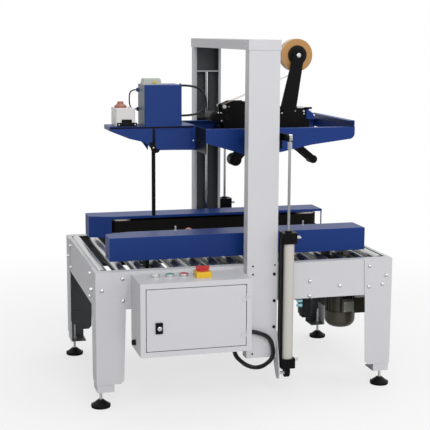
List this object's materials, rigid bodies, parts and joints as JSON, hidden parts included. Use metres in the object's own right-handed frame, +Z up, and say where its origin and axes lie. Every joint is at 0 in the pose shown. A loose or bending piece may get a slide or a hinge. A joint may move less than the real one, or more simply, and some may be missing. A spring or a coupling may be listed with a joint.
{
  "type": "carton sealer",
  "caption": "Carton sealer with a roller bed, two side belt drives and a taping head that rides up and down between two columns on air cylinders.",
  "frame": {"origin": "on the floor, under the middle of the machine's whole footprint (feet, control box and cylinders counted)", "axes": "+X the way the cartons travel, towards the outfeed end; +Y towards the back, away from the control box; +Z up"},
  "size_m": [1.35, 1.181, 1.538],
  "materials": {
    "paint_grey": "satin",
    "paint_blue": "satin",
    "paint_black": "satin",
    "steel_zinc": "brushed",
    "steel_bright": "polished",
    "alloy": "brushed",
    "motor_dark": "painted dark",
    "plastic_black": "matte",
    "plastic_white": "gloss",
    "plastic_green_grey": "matte",
    "plastic_yellow": "gloss",
    "plastic_red": "gloss",
    "rubber_black": "matte",
    "rubber_peach": "matte",
    "tape_amber": "gloss"
  },
  "bodies": {
    "frame": {"leg_front_left": "paint_grey", "leg_front_right": "paint_grey", "leg_back_left": "paint_grey", "leg_back_right": "paint_grey", "foot_stems": "steel_zinc", "foot_pads": "plastic_black", "side_rail_front": "paint_grey", "side_rail_back": "paint_grey", "end_rail_infeed": "paint_grey", "end_rail_outfeed": "paint_grey", "conveyor_rollers": "steel_zinc", "tape_well": "paint_grey", "column_front": "paint_grey", "column_back": "paint_grey", "guide_rods": "steel_bright", "top_crossbar": "paint_grey", "cylinder_tubes": "alloy", "cylinder_caps": "paint_black", "cylinder_brackets": "paint_grey", "slide_shafts": "steel_bright", "lower_tape_unit": "paint_black", "lower_rollers": "rubber_peach", "air_valve": "plastic_black", "control_box": "paint_grey", "push_buttons": "plastic_white", "switch_box": "plastic_yellow", "switch_knob": "plastic_red", "cable_loop": "rubber_black"},
    "door": {"control_door": "paint_grey", "door_lock": "paint_black"},
    "head": {"head_side_plates": "paint_blue", "head_end_plates": "paint_blue", "head_cross_bars": "paint_grey", "infeed_arm": "paint_blue", "junction_box": "paint_blue", "junction_hood": "plastic_green_grey", "stop_box": "plastic_white", "emergency_button": "plastic_red", "sensing_lever": "paint_black", "head_carriages": "paint_black", "piston_rods": "steel_bright", "tape_unit": "paint_black", "guide_rollers": "plastic_white", "roller_arms": "paint_black", "roll_arm": "paint_black", "cable_right": "rubber_black", "cable_left": "rubber_black"},
    "tape": {"tape_roll": "tape_amber", "tape_hub": "plastic_black"},
    "side_drive_front": {"drive_housing_front": "paint_blue", "drive_belt_front": "rubber_black", "drive_pulleys_front": "alloy", "drive_motor_front": "motor_dark", "slide_bracket_front": "paint_black"},
    "side_drive_back": {"drive_housing_back": "paint_blue", "drive_belt_back": "rubber_black", "drive_pulleys_back": "alloy", "drive_motor_back": "motor_dark", "slide_bracket_back": "paint_black"}
  },
  "joints": [
    {"name": "head_lift", "type": "slide", "parent": "frame", "child": "head", "axis": [0, 0, 1], "range_m": [-0.29, 0.02]},
    {"name": "drive_width_front", "type": "slide", "parent": "frame", "child": "side_drive_front", "axis": [0, 1, 0], "range_m": [-0.05, 0.125]},
    {"name": "drive_width_back", "type": "slide", "parent": "frame", "child": "side_drive_back", "axis": [0, -1, 0], "range_m": [-0.05, 0.125]},
    {"name": "door_hinge", "type": "hinge", "parent": "frame", "child": "door", "pos_m": [-0.067, -0.5825, 0.424], "axis": [0, 0, 1], "range_deg": [0, 110]},
    {"name": "tape_spin", "type": "hinge", "parent": "head", "child": "tape", "pos_m": [0.348, 0.0585, 1.464], "axis": [0, 1, 0], "continuous": true}
  ],
  "couplings": [
    {"joint": "drive_width_back", "follows": "drive_width_front", "ratio": 1}
  ]
}
